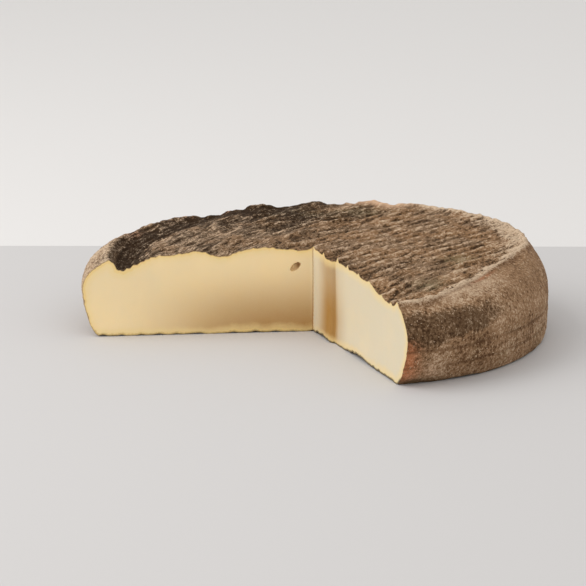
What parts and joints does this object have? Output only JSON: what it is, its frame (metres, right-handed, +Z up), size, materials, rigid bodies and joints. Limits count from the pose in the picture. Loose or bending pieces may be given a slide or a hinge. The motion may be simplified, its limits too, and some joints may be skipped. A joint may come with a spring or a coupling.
{
  "type": "cut cheese wheel",
  "caption": "Flat round cheese wheel with a wrinkled grey-brown rind, lying flat, with a sector of over a quarter cut out so that pale paste shows on two cut faces.",
  "frame": {"origin": "on the floor under the middle of the wheel's outline", "axes": "+Z up through the wheel's thickness; the open sector faces -X and -Y"},
  "size_m": [0.2114, 0.2062, 0.041],
  "materials": {
    "cheese": "dry matt rind, satin cut paste"
  },
  "bodies": {
    "root": {"cheese_wheel": "cheese"}
  },
  "joints": []
}
